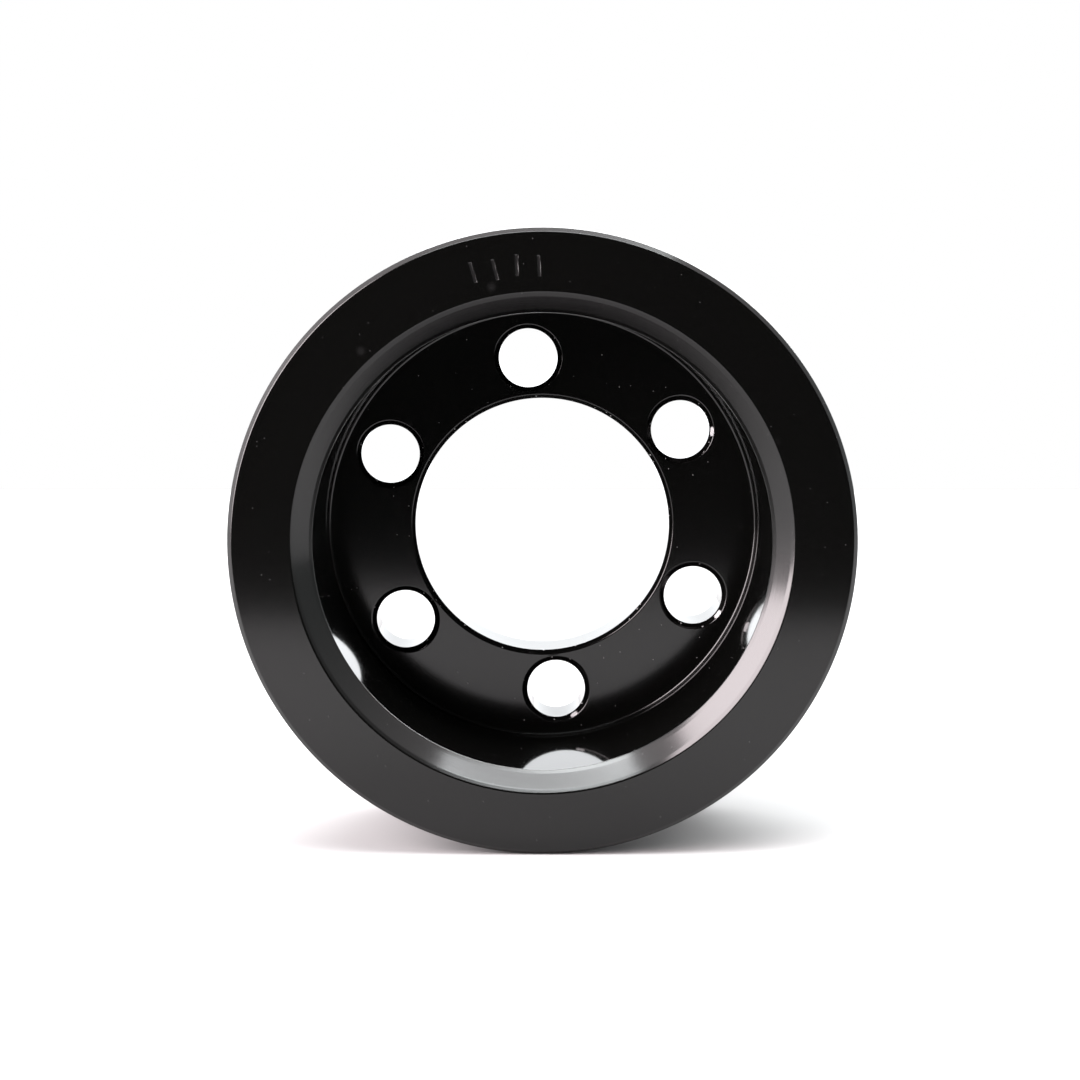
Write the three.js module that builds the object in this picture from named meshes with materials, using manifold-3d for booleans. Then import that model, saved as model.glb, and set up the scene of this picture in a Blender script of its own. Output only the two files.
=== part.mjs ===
// Bolt-on multi-rib belt pulley, turned and drilled from one piece of aluminium bar.
// Millimetres. The pulley turns about the Y axis: its open recess faces -Y, and the web
// that bolts to the hub closes its rear. The origin is on the axis, at half the length.

import * as THREE from 'three';
import { mergeVertices } from 'three/addons/utils/BufferGeometryUtils.js';
import Module from 'manifold-3d';

// Web: the disc that sits on the hub, with its bore and bolt holes.
const boreDiameter = 33.2;
const boltHoleDiameter = 7.6;
const boltHoleCount = 6;
const boltHoleTurn = 4.8; // degrees from straight up to the first hole, anticlockwise from the front
const boreToHole = 1.5; // metal between the bore and each bolt hole
const holeToWall = 2.3; // floor between each bolt hole and the recess wall
const webThickness = 8;

// Rim: the wall round the recess, with the belt's grooves in its outside.
const rimWall = 4.125; // from the recess wall to the bottom of the grooves
const grooveCount = 7;
const groovePitch = 3.56;
const grooveDepth = 2.8;
const grooveAngle = 40; // degrees between the two sides of a groove
const crestWidth = 0.7; // flat left on top of the rib between two grooves

// Flanges: the two collars that keep the belt on its track.
const flangeWidth = 3.04;
const flangeHeight = 3.175; // above the ribs
const flangeTaper = 0.5; // how much the belt side leans back from the track

// Broken edges, all at 45 degrees, and the nose radius of the boring tool.
const lipChamfer = 2.44;
const rimBreak = 0.4;
const boreChamfer = 0.5;
const holeChamfer = 0.5;
const cornerRadius = 0.45;

// Roundness of the faceted surfaces.
const turnedSides = 72;
const drilledSides = 28;
const cornerSteps = 3;
const cutOverrun = 0.5; // how far a drill's cutter runs past the faces that it cuts

const boreRadius = boreDiameter / 2;
const holeRadius = boltHoleDiameter / 2;
const boltCircleRadius = boreRadius + boreToHole + holeRadius;
const recessRadius = boltCircleRadius + holeRadius + holeToWall;
const rootRadius = recessRadius + rimWall;
const beltRadius = rootRadius + grooveDepth;
const flangeRadius = beltRadius + flangeHeight;

const halfTrack = (grooveCount * groovePitch) / 2;
const halfLength = halfTrack + flangeWidth;
const floorY = halfLength - webThickness;

const grooveLean = grooveDepth * Math.tan(THREE.MathUtils.degToRad(grooveAngle / 2));

/** Outline of one flange from the belt track to its outer face; side is -1 at the front, +1 at the rear. */
function flangeOutline(side) {
  const face = side * halfLength;
  const track = side * halfTrack;
  return [
    [beltRadius, track],
    [flangeRadius - rimBreak, track + side * flangeTaper],
    [flangeRadius, track + side * (flangeTaper + rimBreak)],
    [flangeRadius, face - side * rimBreak],
    [flangeRadius - rimBreak, face],
  ];
}

/** Outline of all the belt's grooves, from the front end of the track to the rear. */
function grooveOutline() {
  const points = [];
  for (let groove = 0; groove < grooveCount; groove += 1) {
    const start = -halfTrack + groove * groovePitch + crestWidth / 2;
    const end = start + groovePitch - crestWidth;
    points.push(
      [beltRadius, start],
      [rootRadius, start + grooveLean],
      [rootRadius, end - grooveLean],
      [beltRadius, end],
    );
  }
  return points;
}

/** The rounded corner between the recess floor and its wall, from the floor forwards. */
function cornerOutline() {
  const points = [];
  for (let step = 0; step <= cornerSteps; step += 1) {
    const turn = (step / cornerSteps) * (Math.PI / 2);
    points.push([
      recessRadius - cornerRadius * (1 - Math.sin(turn)),
      floorY - cornerRadius * (1 - Math.cos(turn)),
    ]);
  }
  return points;
}

/** Revolves an outline of [radius, y] points about the Y axis. */
function turned(outline, sides) {
  return new THREE.LatheGeometry(outline.map(([radius, y]) => new THREE.Vector2(radius, y)), sides);
}

/** The pulley as it leaves the lathe: one closed outline round the rim and the web. */
function turnedBlank() {
  const outline = [
    [recessRadius + lipChamfer, -halfLength],
    ...flangeOutline(-1).reverse(),
    ...grooveOutline(),
    ...flangeOutline(1),
    [boreRadius + boreChamfer, halfLength],
    [boreRadius, halfLength - boreChamfer],
    [boreRadius, floorY + boreChamfer],
    [boreRadius + boreChamfer, floorY],
    ...cornerOutline(),
    [recessRadius, -halfLength + lipChamfer],
  ];
  return turned([...outline, outline[0]], turnedSides);
}

/** The metal that drilling and countersinking one bolt hole takes away. */
function boltHoleCutter(turn) {
  const flare = holeRadius + holeChamfer + cutOverrun;
  const cutter = turned([
    [0, floorY - cutOverrun],
    [flare, floorY - cutOverrun],
    [holeRadius, floorY + holeChamfer],
    [holeRadius, halfLength - holeChamfer],
    [flare, halfLength + cutOverrun],
    [0, halfLength + cutOverrun],
  ], drilledSides);
  return cutter.translate(boltCircleRadius * Math.cos(turn), 0, boltCircleRadius * Math.sin(turn));
}

const wasm = await Module();
wasm.setup();

/** Makes a closed geometry a manifold-3d solid. */
function toSolid(geometry) {
  geometry.deleteAttribute('normal');
  geometry.deleteAttribute('uv');
  const merged = mergeVertices(geometry);
  const corners = merged.index.array;
  const triangles = [];
  for (let i = 0; i < corners.length; i += 3) {
    const [a, b, c] = corners.slice(i, i + 3);
    if (a !== b && b !== c && c !== a) {
      triangles.push(a, b, c);
    }
  }
  const mesh = new wasm.Mesh({
    numProp: 3,
    vertProperties: merged.attributes.position.array,
    triVerts: new Uint32Array(triangles),
  });
  return new wasm.Manifold(mesh);
}

/** Makes a manifold-3d solid a three.js geometry. */
function toGeometry(solid) {
  const mesh = solid.getMesh();
  const geometry = new THREE.BufferGeometry();
  geometry.setAttribute('position', new THREE.BufferAttribute(mesh.vertProperties, mesh.numProp));
  geometry.setIndex(new THREE.BufferAttribute(mesh.triVerts, 1));
  geometry.computeVertexNormals();
  return geometry;
}

/** The finished pulley: the turned blank with its ring of bolt holes. */
function pulleyGeometry() {
  let pulley = toSolid(turnedBlank());
  const firstTurn = THREE.MathUtils.degToRad(90 + boltHoleTurn);
  for (let hole = 0; hole < boltHoleCount; hole += 1) {
    const turn = firstTurn + (hole / boltHoleCount) * 2 * Math.PI;
    pulley = pulley.subtract(toSolid(boltHoleCutter(turn)));
  }
  return toGeometry(pulley);
}

const blackAnodised = new THREE.MeshStandardMaterial({ color: 0x0c0c0d, roughness: 0.25, metalness: 0.5 });

const pulleyBody = new THREE.Mesh(pulleyGeometry(), blackAnodised);
pulleyBody.name = 'pulley_body';

const pulley = new THREE.Group();
pulley.name = 'belt_pulley';
pulley.add(pulleyBody);

export default pulley;
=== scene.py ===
# A bolt-on belt pulley, turned from one piece of aluminium bar and anodised black, standing on
# its rim on a white table. Its axis is Y, with the open recess towards -Y, and Z is up. Lengths
# are in metres, and MM turns a workshop size into one.

import math

import bpy
import numpy as np
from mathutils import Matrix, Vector


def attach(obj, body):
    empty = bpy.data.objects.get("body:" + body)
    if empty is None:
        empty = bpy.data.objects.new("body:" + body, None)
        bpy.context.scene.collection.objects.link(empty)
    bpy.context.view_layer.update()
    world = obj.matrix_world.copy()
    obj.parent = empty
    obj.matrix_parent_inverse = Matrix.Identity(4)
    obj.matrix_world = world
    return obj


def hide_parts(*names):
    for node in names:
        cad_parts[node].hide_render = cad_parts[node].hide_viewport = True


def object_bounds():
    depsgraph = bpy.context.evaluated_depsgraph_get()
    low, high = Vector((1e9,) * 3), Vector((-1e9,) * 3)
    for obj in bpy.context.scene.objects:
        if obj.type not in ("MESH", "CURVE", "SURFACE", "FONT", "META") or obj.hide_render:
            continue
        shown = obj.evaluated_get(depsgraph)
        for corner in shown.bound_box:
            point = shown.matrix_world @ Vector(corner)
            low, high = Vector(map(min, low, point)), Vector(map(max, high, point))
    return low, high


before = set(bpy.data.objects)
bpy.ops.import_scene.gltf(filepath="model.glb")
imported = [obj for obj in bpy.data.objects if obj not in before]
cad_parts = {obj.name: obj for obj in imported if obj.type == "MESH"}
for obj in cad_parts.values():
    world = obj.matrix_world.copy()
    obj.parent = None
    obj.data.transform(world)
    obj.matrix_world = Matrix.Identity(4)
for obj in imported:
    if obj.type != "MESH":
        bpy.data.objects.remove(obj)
cad_low, cad_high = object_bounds()

MM = 0.001
scene = bpy.context.scene
scene.view_settings.view_transform = "Standard"

# ---------------------------------------------------------------------------------------------
# Camera. It looks into the recess from a little above the axis, tipped down so that the pulley
# sits in the middle of the picture.

FRONT = cad_low.y
REAR = cad_high.y
TABLE_TOP = cad_low.z

CAMERA_AHEAD = 261.5 * MM  # from the front face
CAMERA_ABOVE = 32.0 * MM  # over the pulley's axis
CAMERA_ASIDE = -0.3 * MM
CAMERA_TIP = math.radians(6.81)

camera_data = bpy.data.cameras.new("camera")
camera_data.lens = 72.9
camera_data.sensor_width = 36
camera_data.clip_start = 1 * MM
camera = bpy.data.objects.new("camera", camera_data)
camera.location = (CAMERA_ASIDE, FRONT - CAMERA_AHEAD, CAMERA_ABOVE)
camera.rotation_euler = (math.pi / 2 - CAMERA_TIP, 0, 0)
scene.collection.objects.link(camera)
scene.camera = camera

# ---------------------------------------------------------------------------------------------
# Studio. A white table with a bright wall behind it and pale walls at the sides. The table stops
# short of the camera, and the room on the camera's side is dark. That is what the gloss shows.

TABLE_AHEAD = 186 * MM  # of the table in front of the front face
TABLE_BEHIND = 0.45
TABLE_HALF_WIDTH = 0.6
TABLE_WHITE = 0.32

LEFT_WALL = (3.35, 3.12, 3.17, 1)
RIGHT_WALL = (0.54, 0.57, 0.57, 1)
SIDE_FALL = 1.8  # power with which the light falls from the left wall to the right one
BACK_WALL = (2.25, 2.3, 2.35, 1)
BACK_EDGE = (0.05, 0.3)  # y of the directions between which the side walls turn into the back wall
DARK_ROOM = (0.036, 0.037, 0.036, 1)
DARK_EDGE = (0.2, 0.42)  # the same for the dark room, towards -y

WARM = (1.0, 0.9, 0.92)
WHITE = (1.0, 1.0, 1.0)
COLD = (0.95, 0.99, 1.0)
CEILING = 1.2  # height of the lights that hang from it
FIXTURE_SPREAD = 52  # degrees across
FIXTURE_ASIDE = 0.02


def tree_of(owner):
    """Empties the node tree of a material or a world and returns it."""
    owner.use_nodes = True
    owner.node_tree.nodes.clear()
    return owner.node_tree


class Link:
    """One output of a shader node. Arithmetic on it adds Math nodes to its tree."""

    def __init__(self, tree, socket):
        self.tree = tree
        self.socket = socket

    @classmethod
    def first(cls, tree, kind, output=0, settings=None, **inputs):
        """Adds a node to a tree, sets its settings and then its inputs, and returns one output.

        An input is a value or a link. It is named by its socket with _ for a space, or by its
        number after a _.
        """
        made = tree.nodes.new(kind)
        for name, value in (settings or {}).items():
            setattr(made, name, value)
        for name, value in inputs.items():
            key = int(name[1:]) if name.startswith("_") else name.replace("_", " ")
            if isinstance(value, Link):
                tree.links.new(value.socket, made.inputs[key])
            else:
                made.inputs[key].default_value = value
        return cls(tree, made.outputs[output]) if made.outputs else None

    def node(self, kind, output=0, settings=None, **inputs):
        """The same in this link's tree."""
        return Link.first(self.tree, kind, output, settings, **inputs)

    def math(self, operation, *values):
        """The result of a Math node on this link and more values."""
        inputs = {f"_{i}": value for i, value in enumerate((self, *values))}
        return self.node("ShaderNodeMath", 0, {"operation": operation}, **inputs)

    def __add__(self, other):
        return self.math("ADD", other)

    def __sub__(self, other):
        return self.math("SUBTRACT", other)

    def __mul__(self, other):
        return self.math("MULTIPLY", other)

    def __rsub__(self, other):
        return self * -1 + other

    __radd__ = __add__
    __rmul__ = __mul__

    def step(self, low, high):
        """0 below low and 1 above high, with a smooth step between."""
        settings = {"interpolation_type": "SMOOTHSTEP"}
        return self.node("ShaderNodeMapRange", 0, settings, Value=self, From_Min=low, From_Max=high)

    def mix(self, first, second):
        """The first colour where this link is 0 and the second where it is 1."""
        settings = {"data_type": "RGBA"}
        return self.node("ShaderNodeMix", 2, settings, _0=self, _6=first, _7=second)

    def parts(self):
        """The three numbers of a vector."""
        split = self.node("ShaderNodeSeparateXYZ", 0, Vector=self)
        return [Link(self.tree, output) for output in split.socket.node.outputs]


def grey(level):
    return (level, level, level, 1)


world = bpy.data.worlds.new("studio")
scene.world = world
sky = tree_of(world)
view_x, view_y = Link.first(sky, "ShaderNodeTexCoord", "Generated").parts()[:2]
side_walls = (view_x * 0.5 + 0.5).math("POWER", SIDE_FALL).mix(LEFT_WALL, RIGHT_WALL)
lit_walls = view_y.step(*BACK_EDGE).mix(side_walls, BACK_WALL)
room = (view_y * -1).step(*DARK_EDGE).mix(lit_walls, DARK_ROOM)
backdrop = Link.first(sky, "ShaderNodeLightPath", "Is Camera Ray").mix(room, grey(1))
shown = backdrop.node("ShaderNodeBackground", Color=backdrop)
shown.node("ShaderNodeOutputWorld", Surface=shown)

table_mesh = bpy.data.meshes.new("table")
table_front = FRONT - TABLE_AHEAD
table_corners = [
    (-TABLE_HALF_WIDTH, table_front, TABLE_TOP),
    (TABLE_HALF_WIDTH, table_front, TABLE_TOP),
    (TABLE_HALF_WIDTH, TABLE_BEHIND, TABLE_TOP),
    (-TABLE_HALF_WIDTH, TABLE_BEHIND, TABLE_TOP),
]
table_mesh.from_pydata(table_corners, [], [(0, 1, 2, 3)])
table = bpy.data.objects.new("table", table_mesh)
scene.collection.objects.link(table)
table_paint = bpy.data.materials.new("white_table")
matt = Link.first(tree_of(table_paint), "ShaderNodeBsdfDiffuse", Color=grey(TABLE_WHITE))
matt.node("ShaderNodeOutputMaterial", Surface=matt)
table_mesh.materials.append(table_paint)


def softbox(name, direction, distance, spread, glow, tint, shape="RECTANGLE"):
    """A flat light that faces the pulley and fills a spread of degrees across and up.

    At the distance d, a light of the spread s is 2 d tan(s / 2) wide. One of area A and power P
    has the radiance P / (pi A), which is its glow.
    """
    away = Vector(direction).normalized()
    data = bpy.data.lights.new(name, "AREA")
    data.shape = shape
    width, height = (2 * distance * math.tan(math.radians(s) / 2) for s in spread)
    data.size = width
    data.size_y = height
    area = width * height * (math.pi / 4 if shape == "ELLIPSE" else 1)
    data.energy = glow * math.pi * area
    data.color = tint
    light = bpy.data.objects.new(name, data)
    light.location = away * distance
    light.rotation_euler = away.to_track_quat("Z", "Y").to_euler()
    light.visible_camera = False
    scene.collection.objects.link(light)


softbox("round_light", (-0.79, -0.47, 0.37), 0.48, (54, 54), 17.5, WARM, "ELLIPSE")
softbox("rear_light", (0.2, 0.75, 0.6), CEILING, (56, 40), 13, WHITE)

# The ceiling fixture: a tube along each long side of a dimmer panel, in degrees ahead of overhead.
for name, rear_side, front_side, glow in (
    ("rear_tube", 4, 10.5, 21),
    ("panel", 10.5, 17, 6),
    ("front_tube", 17, 22.5, 20),
):
    ahead = math.radians((rear_side + front_side) / 2)
    direction = (FIXTURE_ASIDE, -math.sin(ahead), math.cos(ahead))
    softbox(name, direction, CEILING, (FIXTURE_SPREAD, front_side - rear_side), glow, COLD)

# ---------------------------------------------------------------------------------------------
# Outlines. Every turned surface is an outline of radius and height along the axis, with each
# corner broken by an arc, as a tool tip or a file leaves it.


def rounded_outline(corners, radii, steps=3):
    """Outline through the corners, each cut off by an arc that is tangent to both its sides.

    Along an arc the heading turns evenly from one side's to the next. A point is the arc's centre
    moved by the radius to the right of the heading on a left turn, and to the left on a right
    turn. The outward normal is to the right of the heading. Returns the points and the normals.
    """
    corners = np.array(corners, float)
    along = np.diff(corners, axis=0)
    heading = np.arctan2(along[:, 1], along[:, 0])
    turn = (np.diff(heading) + np.pi) % (2 * np.pi) - np.pi
    radius = np.broadcast_to(np.array(radii, float), turn.shape)
    cut = radius * np.tan(np.abs(turn) / 2)
    ahead = np.stack([np.cos(heading), np.sin(heading)], -1)
    start = corners[1:-1] - cut[:, None] * ahead[:-1]
    bearing = heading[:-1, None] + np.linspace(0, 1, steps + 1) * turn[:, None]
    right = np.stack([np.sin(bearing), -np.cos(bearing)], -1)
    bend = (np.sign(turn) * radius)[:, None, None]
    arcs = start[:, None] + bend * (right - right[:, :1])
    ends = np.stack([ahead[[0, -1], 1], -ahead[[0, -1], 0]], -1)
    points = np.concatenate([corners[:1], arcs.reshape(-1, 2), corners[-1:]])
    normals = np.concatenate([ends[:1], right.reshape(-1, 2), ends[1:]])
    return points, normals


def revolve(outline, angles, centre=(0, 0)):
    """Turns an outline about a line along Y. x and z are the centre plus the radius times the
    cosine and the sine of the angle, and y is the height. Returns places and normals, a row for
    each outline point and a column for each angle."""
    points, normals = outline
    around = np.stack([np.cos(angles), np.sin(angles)], -1)
    places = np.empty((len(points), len(angles), 3))
    facing = np.empty_like(places)
    for grid, values in ((places, points), (facing, normals)):
        grid[..., 0::2] = values[:, None, :1] * around
        grid[..., 1] = values[:, None, 1]
    places[..., 0::2] += centre
    return places, facing


# ---------------------------------------------------------------------------------------------
# The size mark. The front face carries four short strokes, struck with a plain blunt punch and
# so not quite in line. They are about as deep as a hair is thick.

MARK_RADIUS = 33.6 * MM
MARK_MIDDLE = math.radians(97.5)
MARK_PITCH = math.radians(4.5)
MARK_HALF = np.array([0.12, 1.15]) * MM  # half the width and height of the punch's flat end
MARK_ROUND = 0.16 * MM
MARK_DEPTH = 0.05 * MM
MARK_OFFSETS = np.array([-0.1, 0.12, -0.08, 0.18]) * MM  # outwards, from right to left
MARK_LEANS = np.radians([3, -4, 5, 2])
MARK_REACH = MARK_PITCH * 2


def mark_depth(x, z):
    """How deep the strokes are at points of the front face.

    Each stroke is a bar on a radius of the face. Its depth falls off with the distance from the
    bar, along half a cosine wave.
    """
    turns = MARK_MIDDLE + MARK_PITCH * (np.arange(4) - 1.5)
    radius = MARK_RADIUS + MARK_OFFSETS
    dx = x[..., None] - radius * np.cos(turns)
    dz = z[..., None] - radius * np.sin(turns)
    lean = turns + MARK_LEANS
    up = dx * np.cos(lean) + dz * np.sin(lean)
    side = dx * np.sin(lean) - dz * np.cos(lean)
    off = np.maximum(np.abs(np.stack([side, up], -1)) - MARK_HALF, 0)
    distance = np.linalg.norm(off, axis=-1).min(-1)
    share = np.clip(distance / MARK_ROUND, 0, 1)
    return MARK_DEPTH * (0.5 + 0.5 * np.cos(np.pi * share))


# ---------------------------------------------------------------------------------------------
# The rim, from the recess floor round to the rear face: the wall of the recess, the wide lip, the
# flat front face, the two flanges and the seven belt grooves between them.

RECESS_RADIUS = 28.0 * MM
WEB_THICKNESS = 8.0 * MM
LIP_WIDTH = 2.44 * MM
LIP_DEPTH = 2.4 * MM
INNER_BAND = 0.4 * MM  # narrow bands along the lip's edges, a little steeper and flatter than it
INNER_SLOPE = math.radians(46.8)
OUTER_BAND = 0.45 * MM
OUTER_SLOPE = math.radians(41)
FLANGE_RADIUS = cad_high.x
FLANGE_WIDTH = 3.04 * MM
FLANGE_HEIGHT = 3.175 * MM
FLANGE_TAPER = 0.5 * MM
RIM_BREAK = 0.55 * MM
GROOVES = 7
GROOVE_PITCH = (REAR - FRONT - 2 * FLANGE_WIDTH) / GROOVES
GROOVE_DEPTH = 2.8 * MM
GROOVE_HALF_ANGLE = math.radians(20)
CREST_WIDTH = 0.7 * MM

FLOOR = REAR - WEB_THICKNESS
BELT_RADIUS = FLANGE_RADIUS - FLANGE_HEIGHT
ROOT_RADIUS = BELT_RADIUS - GROOVE_DEPTH
GROOVE_LEAN = GROOVE_DEPTH * math.tan(GROOVE_HALF_ANGLE)

WEB_EDGE = RECESS_RADIUS - 0.6 * MM  # where the rim's mesh meets the web's
MARK_RINGS = 28


def flange_corners(face, inward):
    """Corners of a flange from the belt track to its outer face, with the radius of each."""
    track = face + inward * FLANGE_WIDTH
    return [
        (BELT_RADIUS, track, 0.2),
        (FLANGE_RADIUS - RIM_BREAK, track - inward * FLANGE_TAPER, 0.15),
        (FLANGE_RADIUS, track - inward * (FLANGE_TAPER + RIM_BREAK), 0.15),
        (FLANGE_RADIUS, face + inward * RIM_BREAK, 0.25),
        (FLANGE_RADIUS - RIM_BREAK, face, 0.2),
    ]


def groove_corners():
    """Corners of the belt grooves from front to rear: crest edge, two root edges, crest edge."""
    start = FRONT + FLANGE_WIDTH + GROOVE_PITCH * np.arange(GROOVES) + CREST_WIDTH / 2
    end = start + GROOVE_PITCH - CREST_WIDTH
    y = np.stack([start, start + GROOVE_LEAN, end - GROOVE_LEAN, end], -1)
    radius = np.broadcast_to([BELT_RADIUS, ROOT_RADIUS, ROOT_RADIUS, BELT_RADIUS], y.shape)
    arc = np.broadcast_to([0.12, 0.3, 0.3, 0.12], y.shape)
    return list(zip(radius.ravel(), y.ravel(), arc.ravel()))


def rim_outline():
    """The rim's outline, with extra rings across the front face where the size mark is."""
    corners = [
        (RECESS_RADIUS, FLOOR, 0.45),
        (RECESS_RADIUS, FRONT + LIP_DEPTH, 0.18),
        (RECESS_RADIUS + INNER_BAND, FRONT + LIP_DEPTH - INNER_BAND * math.tan(INNER_SLOPE), 3),
        (RECESS_RADIUS + LIP_WIDTH - OUTER_BAND, FRONT + OUTER_BAND * math.tan(OUTER_SLOPE), 3),
        (RECESS_RADIUS + LIP_WIDTH, FRONT, 0.4),
        *flange_corners(FRONT, 1)[::-1],
        *groove_corners(),
        *flange_corners(REAR, -1),
    ]
    path = [(WEB_EDGE, FLOOR), *(corner[:2] for corner in corners), (WEB_EDGE, REAR)]
    points, normals = rounded_outline(path, [corner[2] * MM for corner in corners])
    reach = MARK_HALF[1] + MARK_ROUND + np.abs(MARK_OFFSETS).max()
    rings = np.linspace(MARK_RADIUS - reach, MARK_RADIUS + reach, MARK_RINGS)
    extra = np.stack([rings, np.full(MARK_RINGS, FRONT)], -1)
    after = [np.argmax(points[:, 0] > rings[-1])] * MARK_RINGS
    points = np.insert(points, after, extra, axis=0)
    normals = np.insert(normals, after, (0, -1), axis=0)
    return points, normals


# ---------------------------------------------------------------------------------------------
# The web, with its bore and its ring of bolt holes, all lightly countersunk from both sides. Each
# hole is the middle of its own sixth of the web.

BORE_RADIUS = 16.6 * MM
BORE_CHAMFER = 0.5 * MM
BORE_EDGE = BORE_RADIUS + 0.75 * MM  # where the bore's mesh meets the web's
HOLES = 6
HOLE_RADIUS = 3.8 * MM
HOLE_CHAMFER = 0.6 * MM
HOLE_EDGE = HOLE_RADIUS + 0.85 * MM
HOLE_CIRCLE = 21.9 * MM
HOLE_UNEVEN = 0.06  # share by which the deburring varies
BORE_UNEVEN = 0.03
FIRST_HOLE = math.radians(94.8)
SIXTH = 2 * math.pi / HOLES

COLUMNS_PER_SIXTH = 36
MARK_COLUMNS = 96
SIDE_STEPS = 12
WEB_RINGS = 4


def web_outline(radius, chamfer, edge):
    """Outline of a hole through the web, countersunk at both ends, from the rear to the floor."""
    corners = [
        (edge, REAR),
        (radius + chamfer, REAR),
        (radius, REAR - chamfer),
        (radius, FLOOR + chamfer),
        (radius + chamfer, FLOOR),
        (edge, FLOOR),
    ]
    return rounded_outline(corners, np.array([0.3, 0.1, 0.1, 0.3]) * MM)


def deburr(grids, radius, centre, angles, uneven, seed):
    """Widens and narrows a hole's countersinks round the hole, as a deburring blade does by hand.

    A point's distance outside the radius is multiplied by 1 plus a sum of a few slow waves. The
    first and last rings stay, and the normals lean with the slope.
    """
    places, facing = grids
    turns = np.array([1, 2, 3, 5])
    phases = np.random.default_rng(seed).uniform(0, 2 * np.pi, 4)
    waves = np.sin(turns[:, None] * angles + phases[:, None]) / turns[:, None] ** 0.5
    swell = 1 + uneven * waves.sum(0)
    around = np.stack([np.cos(angles), np.sin(angles)], -1)
    outside = (places[1:-1, :, 0::2] - centre - radius * around) * swell[:, None]
    places[1:-1, :, 0::2] = outside + centre + radius * around
    facing[..., 0::2] /= swell[:, None]
    facing /= np.linalg.norm(facing, axis=-1, keepdims=True)
    return places, facing


def turned_angles():
    """Angles of the columns round the axis, even apart from finer ones across the size mark."""
    start = FIRST_HOLE - SIXTH / 2
    even = start + SIXTH / COLUMNS_PER_SIXTH * np.arange(COLUMNS_PER_SIXTH * HOLES)
    low, high = MARK_MIDDLE - MARK_REACH, MARK_MIDDLE + MARK_REACH
    fine = np.linspace(low, high, MARK_COLUMNS)
    return np.concatenate([even[even < low - 1e-3], fine, even[even > high + 1e-3]])


def sixth_sleeve(angles, index):
    """One bolt hole with the sixth of the rear and of the floor round it, as one grid.

    The sixth's border runs along the outer arc, in along one side, back along the inner arc and
    out along the other side. Rings between the border and the hole's circle are the straight mix
    of the two, each border point with the circle's point in the same direction.
    """
    low = FIRST_HOLE + SIXTH * (index - 0.5)
    high = low + SIXTH
    inside = angles[(angles > low + 1e-6) & (angles < high - 1e-6)]
    arc = np.concatenate([[low], inside])
    back = np.concatenate([[high], inside[::-1]])
    side = np.linspace(WEB_EDGE, BORE_EDGE, SIDE_STEPS + 1)
    radius = np.concatenate([
        np.full(len(arc), WEB_EDGE),
        side[:-1],
        np.full(len(back), BORE_EDGE),
        side[:0:-1],
    ])
    turn = np.concatenate([arc, np.full(SIDE_STEPS, high), back, np.full(SIDE_STEPS, low)])
    border = radius[:, None] * np.stack([np.cos(turn), np.sin(turn)], -1)
    middle = (low + high) / 2
    centre = HOLE_CIRCLE * np.array([math.cos(middle), math.sin(middle)])
    outward = border - centre
    bearings = np.arctan2(outward[:, 1], outward[:, 0])
    sleeve = revolve(web_outline(HOLE_RADIUS, HOLE_CHAMFER, HOLE_EDGE), bearings, centre)
    places, facing = deburr(sleeve, HOLE_RADIUS, centre, bearings, HOLE_UNEVEN, index)
    share = np.linspace(0, 1, WEB_RINGS + 1)[:-1, None, None] ** 0.8
    rings = np.empty((WEB_RINGS, len(turn), 3))
    rings[..., 0::2] = border * (1 - share) + places[0][:, 0::2] * share
    rings[..., 1] = REAR
    floor_rings = rings[::-1].copy()
    floor_rings[..., 1] = FLOOR
    normal = np.zeros_like(rings)
    normal[..., 1] = 1
    return np.concatenate([rings, places, floor_rings]), np.concatenate([normal, facing, -normal])


# ---------------------------------------------------------------------------------------------
# The whole pulley as one closed mesh, in the place of its plainer CAD solid.


def grid_faces(rows, columns, first):
    """Quads of a grid that closes on itself along its rows, facing out."""
    row = np.arange(rows - 1)[:, None] * columns
    column = np.arange(columns)[None, :]
    after = (column + 1) % columns
    quads = np.stack([row + column, row + columns + column, row + columns + after, row + after], -1)
    return quads.reshape(-1, 4) + first


def join_grids(grids):
    """Joins grids of places and normals into one mesh's points, normals and quads.

    Points that lie within a hundredth of a micrometre are one point, and a quad that this
    leaves with fewer than four points is dropped.
    """
    places = np.concatenate([place.reshape(-1, 3) for place, _ in grids])
    facing = np.concatenate([normal.reshape(-1, 3) for _, normal in grids])
    firsts = np.cumsum([0] + [place.shape[0] * place.shape[1] for place, _ in grids])
    quads = np.concatenate([
        grid_faces(*place.shape[:2], first) for (place, _), first in zip(grids, firsts)
    ])
    keys = np.round(places, 8) + 0.0
    _, kept, merged = np.unique(keys, axis=0, return_index=True, return_inverse=True)
    return places[kept], facing[kept], merged.reshape(-1)[quads]


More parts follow.
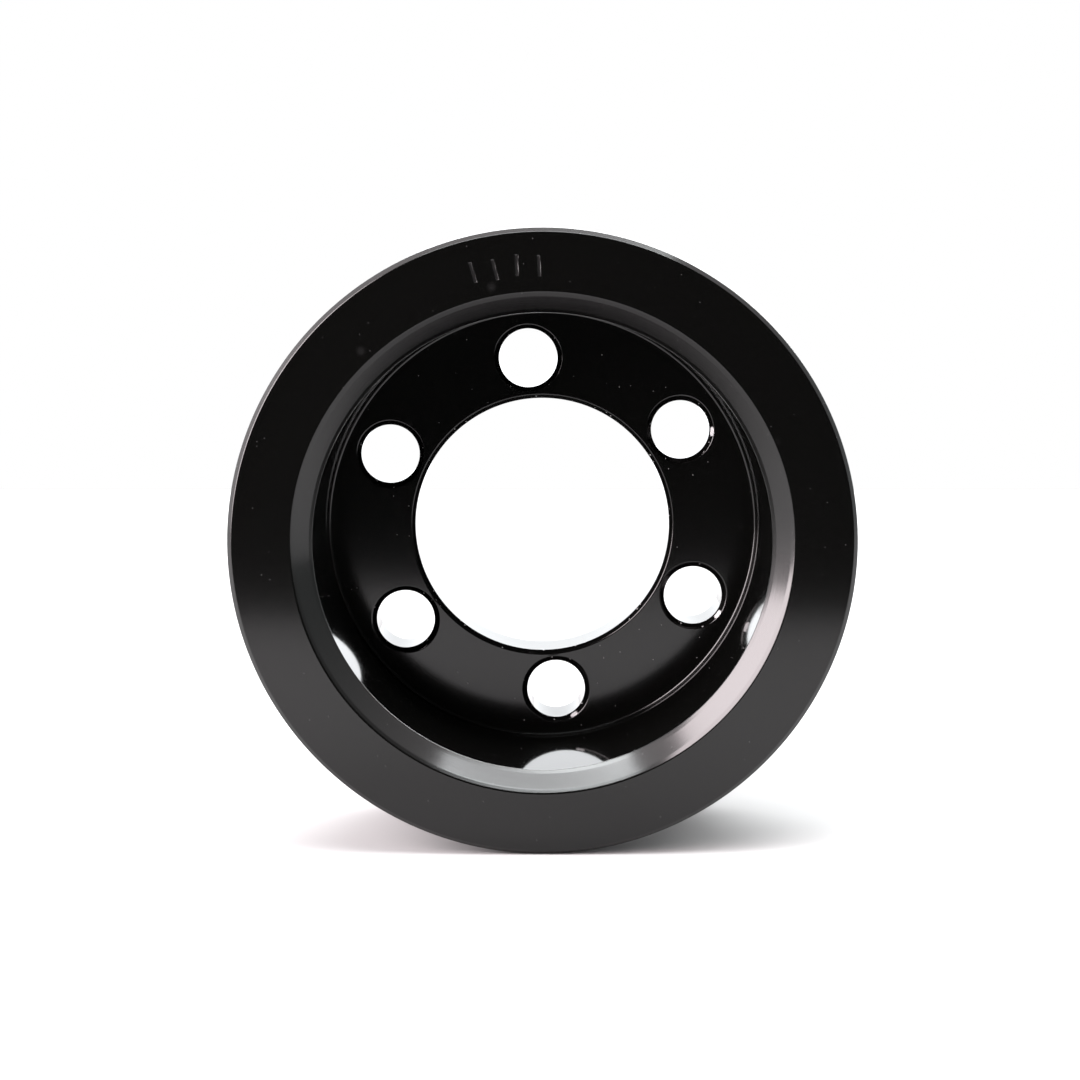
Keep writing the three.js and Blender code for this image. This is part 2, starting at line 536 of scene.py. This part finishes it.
def pulley_mesh():
    """The pulley's mesh, with its exact normals and the attributes that its finish reads."""
    angles = turned_angles()
    bore = revolve(web_outline(BORE_RADIUS, BORE_CHAMFER, BORE_EDGE), angles)
    bore = deburr(bore, BORE_RADIUS, 0, angles, BORE_UNEVEN, HOLES)
    grids = [revolve(rim_outline(), angles), bore]
    grids += [sixth_sleeve(angles, index) for index in range(HOLES)]
    places, facing, quads = join_grids(grids)

    x, y, z = places.T
    depth = np.where(y < FRONT + 0.01 * MM, mark_depth(x, z), 0)
    nudge = 0.02 * MM
    slope_x = (mark_depth(x + nudge, z) - mark_depth(x - nudge, z)) / (2 * nudge)
    slope_z = (mark_depth(x, z + nudge) - mark_depth(x, z - nudge)) / (2 * nudge)
    struck = depth > 0
    facing[struck] = np.stack([slope_x, -np.ones_like(x), slope_z], -1)[struck]
    facing /= np.linalg.norm(facing, axis=1, keepdims=True)
    places[:, 1] += depth

    mesh = bpy.data.meshes.new("pulley")
    mesh.vertices.add(len(places))
    mesh.vertices.foreach_set("co", places.ravel())
    mesh.loops.add(quads.size)
    mesh.loops.foreach_set("vertex_index", quads.ravel())
    mesh.polygons.add(len(quads))
    mesh.polygons.foreach_set("loop_start", np.arange(len(quads)) * 4)
    mesh.update(calc_edges=True)
    mesh.validate()
    mesh.polygons.foreach_set("use_smooth", np.ones(len(mesh.polygons), bool))
    mesh.normals_split_custom_set_from_vertices(facing)
    struck_share = mesh.attributes.new("struck", "FLOAT", "POINT")
    struck_share.data.foreach_set("value", depth / MARK_DEPTH)
    return mesh


pulley = bpy.data.objects.new("pulley", pulley_mesh())
scene.collection.objects.link(pulley)
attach(pulley, "root")
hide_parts("pulley_body")

# ---------------------------------------------------------------------------------------------
# The finish: dye-black anodising over fine turning marks. The walls are the smoothest. It has
# picked up dust and faint smudges. The countersinks have tiny bare nicks, and three bolt holes have
# painted highlights on their countersinks: light grey spots where the light glints.

BLACK = (0.0014, 0.0014, 0.0013, 1)
STRUCK = (0.004, 0.004, 0.004, 1)
SMUDGED = (0.006, 0.006, 0.006, 1)
DUSTY = (0.22, 0.22, 0.22, 1)
NICKED = (0.3, 0.3, 0.3, 1)
# painted highlight: the light grey of the glints on three countersinks
PAINTED_GLINT = (0.6, 0.6, 0.6, 1)
WALL_ROUGHNESS = 0.055
FACE_ROUGHNESS = 0.115
IOR = 1.45

# By how much the roughness rises on the sloped faces, over clouds, and in each kind of blemish.
SLOPE_ROUGHER = 0.065
CLOUD_ROUGHER = 0.03
STRUCK_ROUGHER = 0.2
DUST_ROUGHER = 0.4
SMUDGE_ROUGHER = 0.06

DUST = (1.4 * MM, 0.075 * MM)  # spacing and size of the spots
FACE_DUST = 0.2  # share of the recess's dust that lies on the faces
NICKS = (1.0 * MM, 0.13 * MM)
SMUDGES = (9 * MM, 0.8 * MM)
CLOUD_SCALE = 90
RECESS_EDGE = (27 * MM, 27.2 * MM)

MARK_LENGTH = 8 * MM  # along the turning
MARK_WIDTH = 0.2 * MM
BUMP_UNIT = 0.001 * MM
FLAT_BUMP = 0.25
SLOPE_BUMP = 1.5

# Where the painted highlights sit, as rows of light grey spots on the countersinks
GLINT_ROWS = ((3, -58, 3), (4, -42, 4), (5, -8, 4))  # hole, first bearing in degrees, spots in a row
GLINT_STEP = 3  # degrees between the spots
GLINT_SIZE = 0.36 * MM
GLINT_IN = 0.36 * MM  # from the hole's wall


def spots(place, spacing, size, softness=0.6):
    """1 inside small round spots, one to a cell of the given spacing, and 0 outside them."""
    settings = {"feature": "F1"}
    away = place.node("ShaderNodeTexVoronoi", "Distance", settings, Vector=place, Scale=1 / spacing)
    return 1 - away.step(softness * size / spacing, size / spacing)


def painted_glints(place):
    """1 inside the painted highlights on the countersinks and 0 outside them: light grey spots that
    stand in for the light's glints. Each is a short row of spots.
    """
    total = 0
    for hole, first, count in GLINT_ROWS:
        middle = FIRST_HOLE + SIXTH * hole
        for turn in np.radians(first + GLINT_STEP * np.arange(count)):
            x = HOLE_CIRCLE * math.cos(middle) + (HOLE_RADIUS + GLINT_IN) * math.cos(turn)
            z = HOLE_CIRCLE * math.sin(middle) + (HOLE_RADIUS + GLINT_IN) * math.sin(turn)
            centre = (x, FLOOR + HOLE_CHAMFER - GLINT_IN, z)
            settings = {"operation": "DISTANCE"}
            away = place.node("ShaderNodeVectorMath", "Value", settings, _0=place, _1=centre)
            total = 1 - away.step(0.5 * GLINT_SIZE, GLINT_SIZE) + total
    return total.math("MINIMUM", 1)


def black_anodising():
    """The pulley's only material. The turning marks are noise that is stretched along the rings."""
    material = bpy.data.materials.new("black_anodising")
    tree = tree_of(material)
    place = Link.first(tree, "ShaderNodeTexCoord", "Object")
    x, y, z = place.parts()
    normal_y = Link.first(tree, "ShaderNodeNewGeometry", "Normal").parts()[1]
    struck = Link.first(tree, "ShaderNodeAttribute", "Fac", {"attribute_name": "struck"})
    radius = (x * x + z * z).math("SQRT")
    level = normal_y * normal_y
    sloped = level * (1 - level) * 4

    along = 1 / MARK_LENGTH
    across = (radius - y) * (1 / MARK_WIDTH)
    rings = x.node("ShaderNodeCombineXYZ", X=x * along, Y=across, Z=z * along)
    marks = x.node("ShaderNodeTexNoise", Vector=rings, Scale=1, Detail=2)

    recess = 1 - radius.step(*RECESS_EDGE)
    dust = spots(place, *DUST) * (FACE_DUST + (1 - FACE_DUST) * recess)
    nicks = spots(place, *NICKS) * sloped * recess
    smudges = spots(place, *SMUDGES, 0)
    clouds = place.node("ShaderNodeTexNoise", Vector=place, Scale=CLOUD_SCALE, Detail=2)

    colour = dust.mix(BLACK, DUSTY)
    colour = nicks.mix(colour, NICKED)
    # Painted highlights: light grey spots where the light glints on the countersinks of three bolt
    # holes
    colour = painted_glints(place).mix(colour, PAINTED_GLINT)
    colour = smudges.mix(colour, SMUDGED)
    colour = struck.mix(colour, STRUCK)
    rough = WALL_ROUGHNESS + level * (FACE_ROUGHNESS - WALL_ROUGHNESS) + sloped * SLOPE_ROUGHER
    rough = rough + (clouds - 0.5) * CLOUD_ROUGHER + struck * STRUCK_ROUGHER
    rough = rough + dust * DUST_ROUGHER + smudges * SMUDGE_ROUGHER
    bumps = (marks - 0.5) * (FLAT_BUMP + sloped * SLOPE_BUMP)
    relief = bumps.node("ShaderNodeBump", Height=bumps, Distance=BUMP_UNIT)
    surface = colour.node(
        "ShaderNodeBsdfPrincipled",
        Base_Color=colour,
        Roughness=rough,
        IOR=IOR,
        Normal=relief,
    )
    surface.node("ShaderNodeOutputMaterial", Surface=surface)
    return material


pulley.data.materials.append(black_anodising())
